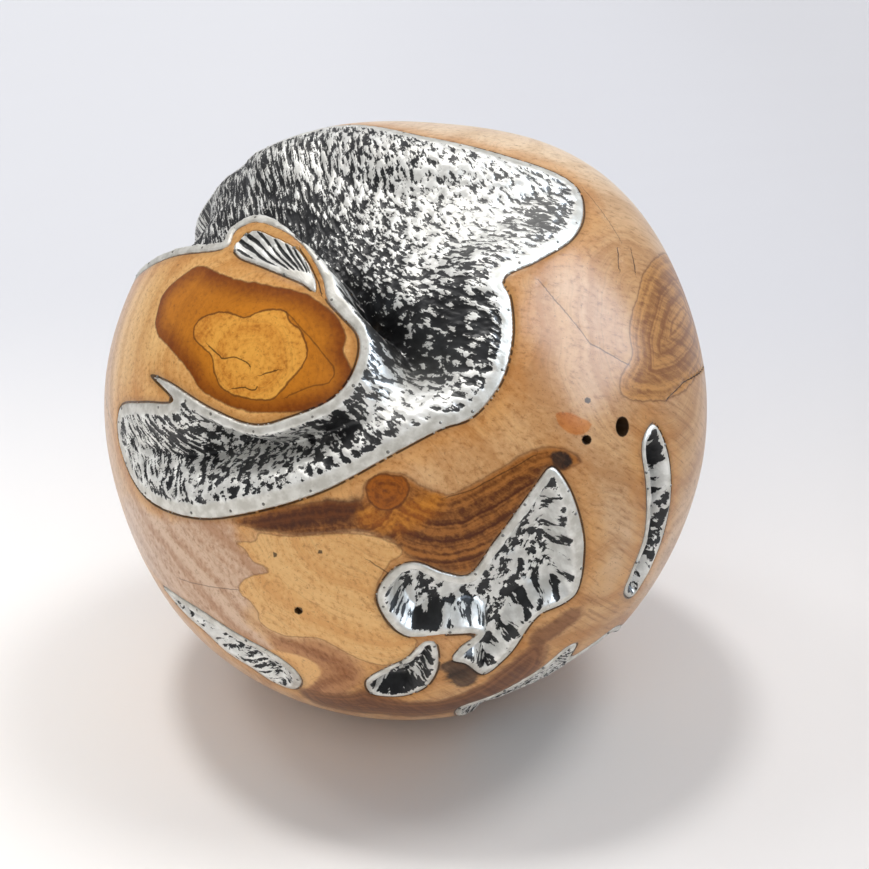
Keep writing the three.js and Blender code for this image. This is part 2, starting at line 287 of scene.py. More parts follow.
# The wood's mesh: cells along each edge of the cube that its grid is spread from, the shares of a cell
# within which its points move onto an outline or a crack, the distance at which a point counts as on a
# line, the room under a sheet, the groove round it, and the depth and slope of a hole. Wood strips that are
# thinner than a width keep away from the dark line of painted shade at the rims.
WOOD_CELLS = 126
OUTLINE_SNAP = 0.55
CRACK_SNAP = 0.52
ON_LINE = 0.05
SHEET_ROOM = 1.2
RIM_GROOVE = 0.25
HOLE_DEPTH = 5.0
HOLE_SLOPE = 2
HOLE_MARGIN = 9.0
THIN_STRIP = 9
THIN_EDGE = 2.0

# Distance from a crack's middle within which it is looked for, and from the crack within which it is
# measured
CRACK_REACH = 80
CRACK_MARGIN = 9

# The sheets' relief in millimetres: flecks, dents, dents on the rim, the rim's crown, and the edge's
# rounding
FLECK_RELIEF = 0.8
DENT_RELIEF = 1.6
RIM_RELIEF = 0.35
RIM_CROWN = 0.5
EDGE_WIDTH = 1.6
EDGE_DROP = 1.2

# The steepest direction of swept flecks, and the width of a fan's rays in millimetres per radian
STEEPEST = -0.95
FAN_SPREAD = 34

# Nails: average step along a rim, radius, rise and lift of a head, its sides, and its profile as shares of
# radius and rise
NAIL_STEP = 44.0
NAIL_RADIUS = 1.3
NAIL_RISE = 0.6
NAIL_LIFT = 0.3
NAIL_SIDES = 10
NAIL_PROFILE = [(0.15, 1.0), (0.5, 0.85), (1.0, 0.2), (1.0, -0.9)]

# Seeds of the random patterns
SEEDS = {
    "swell": 5, "ring": 11, "fine_ring": 23, "bend": 3, "drift": 61, "fleck": 31, "rim": 77, "dent": 51,
    "nails": 19,
}

# Cells after which a noise repeats, and points whose distances are worked out at once
NOISE_CELLS = 256
POINTS_AT_ONCE = 4000


def unit(vectors):
    """Vectors scaled to length one."""
    return vectors / np.linalg.norm(vectors, axis=-1, keepdims=True)


def smooth(low, high, value):
    """Smooth step: zero below low, one above high, 3t^2 - 2t^3 between them."""
    t = np.clip((value - low) / (high - low), 0, 1)
    return t * t * (3 - 2 * t)


def sighted(points):
    """Directions from the ball's centre at which sight lines through (right, up) meet it, near side or
    far side. A sight line that misses the ball gives the direction where it passes closest."""
    places = np.array([p[:2] for p in points], float)
    far = np.array([len(p) > 2 for p in points])
    eye = TO_EYE * EYE_DISTANCE
    look = unit(places[:, :1] * RIGHT + places[:, 1:] * UP - eye)
    nearest = -(look @ eye)
    chord = np.sqrt(np.maximum(0, nearest**2 - EYE_DISTANCE**2 + BALL_RADIUS**2))
    along = np.where(far, nearest + chord, nearest - chord)
    return unit(eye + along[:, None] * look)


def arc(directions, place):
    """Distance over the ball from each direction to a place."""
    return BALL_RADIUS * np.arccos(np.clip(directions @ place, -1, 1))


def bumps(directions, listed):
    """Sum of round bumps: height times exp(-(distance / reach)^2)."""
    total = np.zeros(len(directions))
    for at, height, reach in listed:
        total += height * np.exp(-((arc(directions, sighted([at])[0]) / reach) ** 2))
    return total


def ball_radius(directions):
    """The ball's radius: a sphere with a few broad swells."""
    return BALL_RADIUS + bumps(directions, SWELLS)


def closed_curve(points, cuts):
    """Centripetal Catmull-Rom curve through the points in order, as cuts points from each to the next."""
    before, after, later = np.roll(points, 1, 0), np.roll(points, -1, 0), np.roll(points, -2, 0)
    spans = [np.sqrt(np.linalg.norm(b - a, axis=1, keepdims=True))
             for a, b in ((before, points), (points, after), (after, later))]
    a, b, c = spans
    leave = ((points - before) / a - (after - before) / (a + b) + (after - points) / b) * b
    arrive = ((after - points) / b - (later - points) / (b + c) + (later - after) / c) * b
    t = (np.arange(cuts) / cuts)[None, :, None]
    square = -3 * points + 3 * after - 2 * leave - arrive
    cube = 2 * points - 2 * after + leave + arrive
    curve = points[:, None] + leave[:, None] * t + square[:, None] * t**2 + cube[:, None] * t**3
    return unit(curve.reshape(-1, 3))


class Chart:
    """A flat map of the ball about a middle direction, true in distance from the middle."""

    def __init__(self, middle):
        self.middle = middle
        self.across = unit(np.cross([0.0, 0.0, 1.0], middle))
        self.along = np.cross(middle, self.across)

    def flatten(self, directions):
        """Map point: the direction's side components, stretched to its distance from the middle."""
        flat = np.stack([directions @ self.across, directions @ self.along], 1)
        length = np.maximum(np.linalg.norm(flat, axis=1, keepdims=True), TINY)
        return flat / length * arc(directions, self.middle)[:, None]

    def unroll(self, flat):
        """Direction: the middle turned towards the map point by its distance over the radius."""
        length = np.maximum(np.linalg.norm(flat, axis=1, keepdims=True), TINY)
        angle = length / BALL_RADIUS
        side = (flat[:, :1] * self.across + flat[:, 1:] * self.along) / length
        return np.cos(angle) * self.middle + np.sin(angle) * side


def segment_distance(points, starts, ends):
    """Distance from each point to the nearest of the straight pieces, and the nearest point itself."""
    distance = np.empty(len(points))
    nearest = np.empty((len(points), 2))
    run = ends - starts
    square = np.maximum((run**2).sum(1), TINY)
    for first in range(0, len(points), POINTS_AT_ONCE):
        rows = slice(first, first + POINTS_AT_ONCE)
        part = points[rows]
        out = part[:, None] - starts[None]
        share = np.clip((out * run).sum(2) / square, 0, 1)
        gap = np.linalg.norm(out - share[..., None] * run, axis=2)
        best = gap.argmin(1)
        each = np.arange(len(part))
        distance[rows] = gap[each, best]
        nearest[rows] = starts[best] + share[each, best, None] * run[best]
    return distance, nearest


def within(points, outline):
    """True for points inside a closed outline: a line to the right crosses it an odd number of times."""
    starts, ends = outline, np.roll(outline, -1, 0)
    inside = np.zeros(len(points), bool)
    for (x0, y0), (x1, y1) in zip(starts, ends):
        if y0 != y1:
            crosses = (y0 > points[:, 1]) != (y1 > points[:, 1])
            inside ^= crosses & (points[:, 0] < x0 + (x1 - x0) * (points[:, 1] - y0) / (y1 - y0))
    return inside


class Patch:
    """A closed outline on the ball with its own map and distance, positive inside."""

    def __init__(self, outline):
        curve = closed_curve(sighted(outline), CURVE_CUTS)
        self.chart = Chart(unit(curve.mean(0)))
        self.outline = self.chart.flatten(curve)
        self.reach = np.linalg.norm(self.outline, axis=1).max()

    def distance(self, flat):
        """Distance to the outline, positive inside it, and the nearest outline point."""
        gap, nearest = segment_distance(flat, self.outline, np.roll(self.outline, -1, 0))
        return np.where(within(flat, self.outline), gap, -gap), nearest

    def field(self, directions, margin=FIELD_MARGIN):
        """Distance for directions: exact near the patch and a plain negative margin elsewhere."""
        result = np.full(len(directions), -margin)
        close = arc(directions, self.chart.middle) < self.reach + margin
        flat = self.chart.flatten(directions[close])
        result[close] = np.maximum(self.distance(flat)[0], -margin)
        return result


class Hollow(Patch):
    """A patch with a floor: flush rim, then a wall down to a depth with gouges. From the brow's first
    point on, the outline is a steeper edge with a rim and a wall of its own."""

    def __init__(self, spec):
        super().__init__(spec["outline"])
        self.spec = spec

    def floor(self, flat, directions):
        """Distance past the flush rim, and depth below the ball: the sum of the even depth and the
        gouges, times each edge's smooth step from its rim over its wall."""
        spec = self.spec
        brow = spec.get("brow")
        cut = CURVE_CUTS * (brow["first"] if brow else len(spec["outline"]))
        ends = np.roll(self.outline, -1, 0)
        depth = spec["depth"] + bumps(directions, spec.get("gouges", []))
        past = np.full(len(flat), BALL_RADIUS)
        for edge, run in ((spec, slice(0, cut)), (brow, slice(cut, None))):
            if edge:
                gap, _ = segment_distance(flat, self.outline[run], ends[run])
                gap -= edge["rim"] + bumps(directions, edge.get("rims", []))
                depth *= smooth(0, edge["wall"] + bumps(directions, edge.get("walls", [])), gap)
                past = np.minimum(past, gap)
        return past, depth


def noise(x, y, seed):
    """Gradient noise: each whole-number point has a random slope, and their planes blend by
    6t^5 - 15t^4 + 10t^3."""
    angles = np.random.default_rng(seed).uniform(0, 2 * np.pi, (NOISE_CELLS, NOISE_CELLS))
    left, low = np.floor(x).astype(int), np.floor(y).astype(int)
    u, v = x - left, y - low

    def plane(i, j):
        """Height of a corner's sloping plane: its slope times the steps from the corner."""
        angle = angles[(left + i) % NOISE_CELLS, (low + j) % NOISE_CELLS]
        return np.cos(angle) * (u - i) + np.sin(angle) * (v - j)

    fade_u, fade_v = (t * t * t * (t * (t * 6 - 15) + 10) for t in (u, v))
    lower = plane(0, 0) + fade_u * (plane(1, 0) - plane(0, 0))
    upper = plane(0, 1) + fade_u * (plane(1, 1) - plane(0, 1))
    return lower + fade_v * (upper - lower)


def layered(x, y, seed, layers=3):
    """Noise summed over layers, each twice as fine and half as strong."""
    return sum(noise(x * 2**i + 17 * i, y * 2**i, seed + i) / 2**i for i in range(layers))


def solid_noise(directions, size, seed):
    """Noise over the ball: the sum of flat noises of the direction's three coordinate pairs, over 1.7."""
    place = directions * (BALL_RADIUS / size) + 50
    pairs = ((0, 1), (1, 2), (2, 0))
    return sum(layered(place[:, a], place[:, b], seed + 7 * a) for a, b in pairs) / 1.7


def make_mesh(name, points, faces, material, attributes=None):
    """A piece of the ball from points in millimetres about the ball's centre."""
    mesh = bpy.data.meshes.new(name)
    placed = (points + np.array([0, 0, CENTRE_HEIGHT])) * MM
    mesh.from_pydata(placed.tolist(), [], faces.tolist())
    for key, values in (attributes or {}).items():
        mesh.attributes.new(key, "FLOAT", "POINT").data.foreach_set("value", values.astype(np.float32))
    mesh.polygons.foreach_set("use_smooth", np.ones(len(mesh.polygons), bool))
    mesh.materials.append(material)
    mesh.update()
    piece = place_in_scene(name, mesh)
    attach(piece, "root")
    return piece


def grid_faces(columns, rows):
    """Quads of a grid of columns by rows points, numbered along each row."""
    first = (np.arange(rows - 1)[:, None] * columns + np.arange(columns - 1)[None]).ravel()
    return np.stack([first, first + 1, first + columns + 1, first + columns], 1)


# The wood's grain: turn of its axis towards the knob, and the sizes of a streak and a dash in metres, two
# across the grain and one along it
GRAIN_TURN = (math.radians(52), 0.0, math.radians(-35))
GRAIN_SIZE = (0.0034, 0.0034, 0.12)
DASH_SIZE = (0.0012, 0.0012, 0.007)

# Softness and raggedness of each patch's edge in millimetres, its dark and light tone, and the patch
# along whose edge its streaks run, if any
FIGURE_TONES = [
    ("mauve", 7.0, 16.0, (180, 138, 106), (212, 182, 156), None),
    ("amber", 0.6, 6.0, (208, 154, 92), (224, 180, 120), None),
    ("band", 6.0, 12.0, (138, 86, 50), (182, 130, 86), None),
    ("lobe", 2.0, 6.0, (208, 150, 88), (224, 176, 116), None),
    ("stripe", 5.0, 18.0, (90, 48, 22), (136, 88, 50), "stripe"),
    ("umber", 3.0, 6.0, (142, 90, 42), (202, 148, 84), "umber"),
    ("dusk", 3.0, 6.0, (78, 36, 6), (164, 104, 46), "drape"),
    ("soot", 4.0, 12.0, (54, 20, 0), (98, 50, 12), "drape"),
    ("ember", 7.0, 22.0, (140, 74, 12), (196, 126, 40), "drape"),
    ("knot", 1.0, 6.0, (92, 40, 2), (158, 88, 20), "knot"),
    ("orange", 1.0, 5.0, (186, 112, 48), (206, 138, 72), None),
    ("smudge", 4.0, 14.0, (120, 78, 46), (150, 104, 66), None),
    ("bark", 3.0, 18.0, (52, 36, 24), (106, 80, 58), None),
    ("tip", 1.5, 8.0, (40, 26, 18), (90, 64, 44), None),
]

# Dark and light tones of the wood: plain, in broad clouds, round the knob, at the top (paler wood and a
# painted sheen), round rims, and on the knob
TONES = {
    "plain": ((186, 136, 86), (212, 168, 118)),
    "cloud": ((190, 150, 112), (216, 184, 150)),
    "sap": ((208, 156, 92), (230, 188, 126)),
    "pale": ((220, 188, 150), (240, 214, 182)),
    "warm": ((186, 122, 54), (208, 150, 82)),
    "heart": ((116, 56, 8), (190, 118, 36)),
    "heart_glow": ((112, 48, 2), (194, 120, 28)),
    "gold": ((184, 112, 34), (220, 158, 68)),
}

# Colours of the wood's dark marks, among them painted shade in the gap between wood and sheet and inside
# the holes, and the strength of the contour line round some patches
MARKS = {
    "contour": (84, 42, 12), "ring": (100, 56, 22), "grain": (112, 66, 30), "dash": (98, 60, 32),
    "pore": (80, 44, 20), "stain": (96, 58, 30), "gap": (30, 20, 12), "pit": (26, 15, 8),
    "crack": (34, 18, 8),
}
CONTOURS = {"gold": 0.8, "heart": 0.5, "amber": 0.4, "umber": 0.45, "knot": 0.6, "dusk": 0.3}

# Unevenness of contour lines, cracks and the warm wood round rims in millimetres
CONTOUR_JAG = 6.0
CRACK_JAG = 3.0
WARM_JAG = 30.0

# Tones of the sheet metal: ridges, rims, tarnish on the rims, recesses, and the grey of the recesses where
# the sheet is lit, a painted sheen, and in a few grey patches
RIDGE = ((214, 213, 208), (244, 244, 240))
RIM = ((190, 187, 178), (222, 220, 213))
TARNISH = (128, 120, 106)
RECESS = ((14, 14, 16), (38, 39, 41))
SHEEN_GREY = (112, 112, 110)


class Shader:
    """The node tree of a material or a sky, built one node at a time."""

    def __init__(self, owner):
        owner.use_nodes = True
        self.owner = owner
        self.tree = owner.node_tree

    def node(self, kind, inputs=None, output=0, **settings):
        """Adds a node with its settings, and links or sets its inputs."""
        made = self.tree.nodes.new("ShaderNode" + kind)
        for key, value in settings.items():
            setattr(made, key, value)
        for key, value in (inputs or {}).items():
            self.put(made.inputs[key], value)
        return made.outputs[output]

    def put(self, socket, value):
        """Links a node's output to a socket, or sets the socket to a value."""
        if isinstance(value, bpy.types.NodeSocket):
            self.tree.links.new(value, socket)
        else:
            socket.default_value = value

    def attribute(self, name):
        """A number that each point of the mesh carries."""
        return self.node("Attribute", output="Fac", attribute_name=name)

    def math(self, operation, first, second=0.0):
        """One operation on one or two numbers."""
        return self.node("Math", {0: first, 1: second}, operation=operation)

    def add(self, first, second, share):
        """The first number plus a share of the second."""
        return self.math("ADD", first, self.math("MULTIPLY", second, share))

    def weigh(self, first, second, share):
        """A share of the first number and the rest of the second."""
        return self.add(self.math("MULTIPLY", first, share), second, 1 - share)

    def ramp(self, value, low, high, start=0.0, end=1.0):
        """Smooth step of a value between low and high, from start to end."""
        inputs = {"Value": value, "From Min": low, "From Max": high, "To Min": start, "To Max": end}
        return self.node("MapRange", inputs, interpolation_type="SMOOTHSTEP")

    def mix(self, share, first, second):
        """The first colour with a share of the second."""
        return self.node("Mix", {0: share, 6: first, 7: second}, output=2, data_type="RGBA")

    def tones(self, share, pair):
        """A mix of a dark and a light display colour."""
        dark, light = pair
        return self.mix(share, srgb(*dark), srgb(*light))

    def noise(self, vector, scale, detail=3.0, roughness=0.55):
        """Noise in space."""
        inputs = {"Vector": vector, "Scale": scale, "Detail": detail, "Roughness": roughness}
        return self.node("TexNoise", inputs, output="Fac")

    def line_noise(self, value, scale, detail):
        """Noise along one number."""
        inputs = {"W": self.math("MULTIPLY", value, scale), "Scale": 1.0, "Detail": detail}
        return self.node("TexNoise", inputs, output="Fac", noise_dimensions="1D")

    def finish(self, inputs):
        """Sets the tree's principled surface and gives back the material."""
        surface = self.tree.nodes["Principled BSDF"]
        for key, value in inputs.items():
            self.put(surface.inputs[key], value)
        return self.owner


def srgb(red, green, blue):
    """A display colour of 0 to 255 as linear light with alpha."""
    shares = np.array([red, green, blue]) / 255
    linear = np.where(shares < 0.04045, shares / 12.92, ((shares + 0.055) / 1.055) ** 2.4)
    return (*linear.tolist(), 1.0)


def teak_material():
    """Waxed teak: lines along the growth rings, patches of figure with ragged edges, a dark line of painted
    shade in the gap at the rims, holes painted dark as shade, and cracks."""
    teak = Shader(bpy.data.materials.new("waxed_teak"))
    place = teak.node("TexCoord", output="Object")
    edge = teak.attribute("edge")
    ragged = teak.math("SUBTRACT", teak.noise(place, 70.0, 5.0, 0.62), 0.5)

    def grain_noise(size, detail, roughness):
        """Noise drawn out along the grain."""
        inputs = {"Vector": place, "Rotation": GRAIN_TURN, "Scale": size}
        return teak.noise(teak.node("Mapping", inputs, vector_type="TEXTURE"), 1.0, detail, roughness)

    ring = teak.attribute("ring")
    fine = teak.weigh(teak.line_noise(ring, 0.5, 4.0), teak.noise(place, 45.0, 4.0), 0.6)
    grain = grain_noise(GRAIN_SIZE, 4.0, 0.6)
    bands = teak.ramp(teak.weigh(teak.line_noise(ring, 0.045, 2.0), grain, 0.6), 0.36, 0.64)

    def jagged(name, jag):
        """Distance inside a patch or beside a crack, made uneven by noise."""
        return teak.add(teak.attribute(name), ragged, jag)

    def patch(name, soft, jag):
        """Share of a patch: a smooth step across its uneven edge."""
        return teak.ramp(jagged(name, jag), -soft, soft)

    def streaked(name):
        """Streaks along a patch's edge: noise of the distance from it, weighed with the grain."""
        contours = teak.line_noise(jagged(name, CONTOUR_JAG), 0.16, 2.0)
        return teak.ramp(teak.weigh(contours, grain, 0.6), 0.38, 0.64)

    def marked(share, name):
        """The colour so far with a share of a dark mark."""
        return teak.mix(share, colour, srgb(*MARKS[name]))

    cloud = teak.ramp(teak.noise(place, 9.0), 0.40, 0.72, 0.0, 0.7)
    colour = teak.mix(cloud, teak.tones(bands, TONES["plain"]), teak.tones(bands, TONES["cloud"]))
    # Sap wood round the knob, and the paler top, partly a painted sheen
    for name in ("sap", "pale"):
        colour = teak.mix(teak.attribute(name), colour, teak.tones(bands, TONES[name]))
    warm = teak.ramp(jagged("edge", WARM_JAG), 2.0, 30.0, 0.6, 0.0)
    colour = teak.mix(warm, colour, teak.tones(bands, TONES["warm"]))
    for name, soft, jag, dark, light, leader in FIGURE_TONES:
        share = streaked(leader) if leader else bands
        colour = teak.mix(patch(name, soft, jag), colour, teak.tones(share, (dark, light)))
    glow = teak.tones(teak.ramp(teak.attribute("heart"), 0.0, 20.0), TONES["heart_glow"])
    heart = teak.mix(0.3, glow, teak.tones(bands, TONES["heart"]))
    colour = teak.mix(patch("heart", 0.8, CONTOUR_JAG), colour, heart)
    colour = teak.mix(patch("gold", 1.2, CONTOUR_JAG), colour, teak.tones(bands, TONES["gold"]))
    for name, strength in CONTOURS.items():
        line = teak.math("ABSOLUTE", jagged(name, CONTOUR_JAG))
        colour = marked(teak.ramp(line, 0.2, 1.2, strength, 0.0), "contour")
    colour = marked(teak.ramp(fine, 0.34, 0.50, 0.14, 0.0), "ring")
    colour = marked(teak.ramp(grain, 0.30, 0.46, 0.28, 0.0), "grain")
    colour = marked(teak.ramp(grain_noise(DASH_SIZE, 1.0, 0.55), 0.68, 0.76, 0.0, 0.40), "dash")
    pore = teak.noise(place, 420.0, 2.0)
    colour = marked(teak.ramp(pore, 0.60, 0.78, 0.0, 0.35), "pore")
    colour = marked(teak.ramp(edge, 0.0, 7.0, 0.30, 0.0), "stain")
    # Painted shade: a dark line in the gap where wood meets sheet, and the holes painted near black
    colour = marked(teak.ramp(edge, 0.3, 1.1, 0.85, 0.0), "gap")
    colour = marked(teak.ramp(teak.attribute("pit"), -0.7, 0.2, 0.0, 0.96), "pit")
    beside = teak.math("ABSOLUTE", jagged("crack", CRACK_JAG))
    split = teak.math("MULTIPLY", teak.ramp(beside, 0.2, 0.8, 1.0, 0.0), teak.attribute("darkness"))
    colour = marked(split, "crack")
    height = teak.add(teak.weigh(fine, pore, 0.5), split, -2.0)
    bump = teak.node("Bump", {"Height": height, "Strength": 0.12, "Distance": 0.001})
    return teak.finish({
        "Base Color": colour, "Roughness": 0.30, "Normal": bump, "Specular IOR Level": 0.14,
        "Coat Weight": 0.2, "Coat Roughness": 0.2,
    })


def sheet_material():
    """Beaten aluminium: bright ridges and black recesses, parted where the polish, which carries painted
    light and shade, and a fine noise sum to zero. The black greys where that lightness is high, as a painted
    sheen."""
    sheet = Shader(bpy.data.materials.new("beaten_aluminium"))
    place = sheet.node("TexCoord", output="Object")
    along, across = (sheet.attribute(name) for name in ("stroke_along", "stroke_across"))
    strokes = sheet.node("CombineXYZ", {"X": along, "Y": across})
    drawn = sheet.noise(strokes, 2.0, 4.0, 0.62)
    spots = sheet.math("SUBTRACT", sheet.noise(place, 190.0, 4.0, 0.62), drawn)
    fine = sheet.math("ADD", drawn, sheet.math("MULTIPLY", sheet.attribute("blot"), spots))
    fine = sheet.math("SUBTRACT", fine, 0.5)
    # Silver where the polish, with its painted light and shade, and the fine noise sum above zero
    share = sheet.ramp(sheet.add(sheet.attribute("polish_and_shade"), fine, 1.5), -0.03, 0.035)
    smear = sheet.noise(place, 110.0)
    bright = sheet.ramp(smear, 0.35, 0.7)
    tarnish = sheet.ramp(sheet.noise(place, 75.0, 5.0, 0.7), 0.62, 0.70, 0.0, 0.5)
    rim = sheet.mix(tarnish, sheet.tones(bright, RIM), srgb(*TARNISH))
    silver = sheet.mix(sheet.attribute("rim"), sheet.tones(bright, RIDGE), rim)
    black = sheet.tones(sheet.ramp(smear, 0.35, 0.75), RECESS)
    # The black greys where the sheet is lit, a painted sheen, and in the grey patches
    black = sheet.mix(sheet.attribute("sheen_grey"), black, srgb(*SHEEN_GREY))
    bump = sheet.node("Bump", {"Height": fine, "Strength": 0.4, "Distance": 0.0008})
    return sheet.finish({
        "Base Color": sheet.mix(share, black, silver),
        "Metallic": sheet.math("MULTIPLY", share, 0.4),
        "Roughness": sheet.ramp(share, 0.0, 1.0, 0.36, 0.42),
        "Normal": bump,
    })


def nail_material():
    """Dull nail heads."""
    head = Shader(bpy.data.materials.new("nail_heads"))
    return head.finish({"Base Color": srgb(120, 118, 112), "Metallic": 0.8, "Roughness": 0.4})


def floor_material():
    """Pale matt floor, lighter at the left and darker to the right and behind the ball: painted falloff of
    the light, with the left lighter over the right lamp's faint shadow.
    """
    floor = Shader(bpy.data.materials.new("pale_floor"))
    place = floor.node("TexCoord", output="Object")
    right, back = (floor.node("SeparateXYZ", {"Vector": place}, output=axis) for axis in "XY")
    # Painted falloff of light: lighter at the left over the right lamp's faint shadow, darker to the right
    # and behind
    colour = floor.mix(floor.ramp(right, -0.35, 0.35), srgb(243, 242, 241), srgb(222, 221, 222))
    colour = floor.mix(floor.ramp(right, 0.3, 0.9), colour, srgb(202, 199, 196))
    colour = floor.mix(floor.ramp(back, -0.1, 1.0, 0.0, 0.7), colour, srgb(200, 203, 212))
    return floor.finish({"Base Color": colour, "Roughness": 0.8, "Specular IOR Level": 0.0})


def cube_sphere(cells):
    """Directions over the whole ball: six square grids of evenly spaced angles, joined along their
    edges."""
    across = np.tan(np.linspace(-1, 1, cells + 1) * np.pi / 4)
    u, v = (grid.ravel() for grid in np.meshgrid(across, across))
    sides = []
    for axis in range(3):
        for sign in (1, -1):
            side = np.empty((len(u), 3))
            side[:, axis] = sign
            side[:, (axis + 1) % 3] = sign * u
            side[:, (axis + 2) % 3] = v
            sides.append(unit(side))
    points = np.concatenate(sides)
    faces = np.concatenate([grid_faces(cells + 1, cells + 1) + i * len(u) for i in range(6)])
    rounded = np.round(points * 1e6).astype(int)
    _, first, same = np.unique(rounded, axis=0, return_index=True, return_inverse=True)
    return points[first], same.reshape(-1)[faces]


def near(directions, patch, margin):
    """Indices of the directions that lie within a patch's reach."""
    return np.flatnonzero(arc(directions, patch.chart.middle) < patch.reach + margin)


def snap(directions, patch, reach):
    """Moves directions that lie within reach of a patch's outline onto it."""
    close = near(directions, patch, 10)
    distance, nearest = patch.distance(patch.chart.flatten(directions[close]))
    on = np.abs(distance) < reach
    directions[close[on]] = patch.chart.unroll(nearest[on])


class Crack:
    """An open line on the ball with its own map."""

    def __init__(self, darkness, depth, points):
        places = sighted(points)
        self.darkness = darkness
        self.depth = depth
        self.chart = Chart(unit(places.mean(0)))
        self.line = self.chart.flatten(places)

    def beside(self, directions):
        """Indices of the directions close to the line, their distance from it, negative on its right, and
        the direction of the nearest point of the line."""
        close = np.flatnonzero(arc(directions, self.chart.middle) < CRACK_REACH)
        flat = self.chart.flatten(directions[close])
        distance, nearest = segment_distance(flat, self.line[:-1], self.line[1:])
        on = distance < CRACK_MARGIN
        out = (flat - nearest)[on]
        middles = (self.line[:-1] + self.line[1:]) / 2
        step = np.linalg.norm(nearest[on][:, None] - middles, axis=2).argmin(1)
        run = (self.line[1:] - self.line[:-1])[step]
        side = np.where(run[:, 0] * out[:, 1] < run[:, 1] * out[:, 0], -1, 1)
        return close[on], side * distance[on], self.chart.unroll(nearest[on])


def hole_patch(middle, width, height):
    """A hole's outline: eight points of an ellipse."""
    x, y = middle
    turns = np.arange(8) * np.pi / 4
    return Patch([(x + width * math.cos(turn), y + height * math.sin(turn)) for turn in turns])


def wood_figure(directions):
    """Numbers for the wood's colours: the distance inside each patch, the rings as a soft least distance
    from the piths with noise, the sap wood round the knob, and the pale wood at the top, which is partly
    paler wood and partly a painted sheen."""
    figure = {name: Patch(outline).field(directions) for name, outline in FIGURES.items()}
    reach = np.stack([arc(directions, pith) for pith in sighted(PITHS)])
    ring = -RING_MERGE * np.log(np.exp(-reach / RING_MERGE).sum(0) + 1e-12)
    broad = 14 * solid_noise(directions, 90, SEEDS["ring"])
    ring += broad + 4 * solid_noise(directions, 26, SEEDS["fine_ring"])
    knob = arc(directions, sighted([KNOB])[0])
    figure.update(ring=ring, sap=1 - smooth(115, 165, knob), pale=np.minimum(1, bumps(directions, PALE_SHEEN)))
    return figure


def wood_piece(hollows, material):
    """The ball: radius over a grid of directions, less each hollow's floor and room for its sheet, less
    holes and cracks, and cut off flat underneath. Grid points beside an outline or a crack are moved onto
    it."""
    directions, faces = cube_sphere(WOOD_CELLS)
    cell = BALL_RADIUS * np.pi / 2 / WOOD_CELLS
    holes = [hole_patch(*row) for row in HOLES]
    cracks = [Crack(*row) for row in CRACKS]
    for patch in holes + list(hollows.values()):
        snap(directions, patch, OUTLINE_SNAP * cell)
    for crack in cracks:
        close, across, nearest = crack.beside(directions)
        on = np.abs(across) < CRACK_SNAP * cell
        directions[close[on]] = nearest[on]
    radius = ball_radius(directions) + 0.25 * solid_noise(directions, 60, SEEDS["swell"])
    split = np.full(len(directions), float(CRACK_MARGIN))
    darkness = np.zeros(len(directions))
    for crack in cracks:
        close, across, _ = crack.beside(directions)
        radius[close] -= crack.depth * (np.abs(across) < ON_LINE)
        split[close] = across
        darkness[close] = crack.darkness * (1 - smooth(3.5, 5.5, np.abs(across)))
    edge = np.full(len(directions), FIELD_MARGIN)
    second = edge.copy()
    for hollow in hollows.values():
        close = near(directions, hollow, FIELD_MARGIN)
        flat = hollow.chart.flatten(directions[close])
        distance, _ = hollow.distance(flat)
        inside = distance > ON_LINE
        _, depth = hollow.floor(flat[inside], directions[close[inside]])
        radius[close[inside]] -= depth + SHEET + SHEET_ROOM
        radius[close] -= RIM_GROOVE * (np.abs(distance) < ON_LINE)
        second[close] = np.minimum(second[close], np.maximum(edge[close], np.abs(distance)))
        edge[close] = np.minimum(edge[close], np.abs(distance))
    edge = np.where(second < THIN_STRIP, np.maximum(edge, THIN_EDGE), edge)
    # Distance inside the holes, for the shade painted in them
    pit = np.full(len(directions), -HOLE_MARGIN)
    for hole in holes:
        distance = hole.field(directions, HOLE_MARGIN)
        radius -= np.where(distance > ON_LINE, HOLE_DEPTH + HOLE_SLOPE * distance, 0)
        pit = np.maximum(pit, distance)
    points = directions * radius[:, None]
    points[:, 2] = np.maximum(points[:, 2], -CENTRE_HEIGHT)
    attributes = wood_figure(directions)
    attributes.update(edge=edge, pit=pit, crack=split, darkness=darkness)
    piece = make_mesh("teak_ball_wood", points, faces, material, attributes)
    piece.data.set_sharp_from_angle(angle=0.6)
    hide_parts("teak_ball")


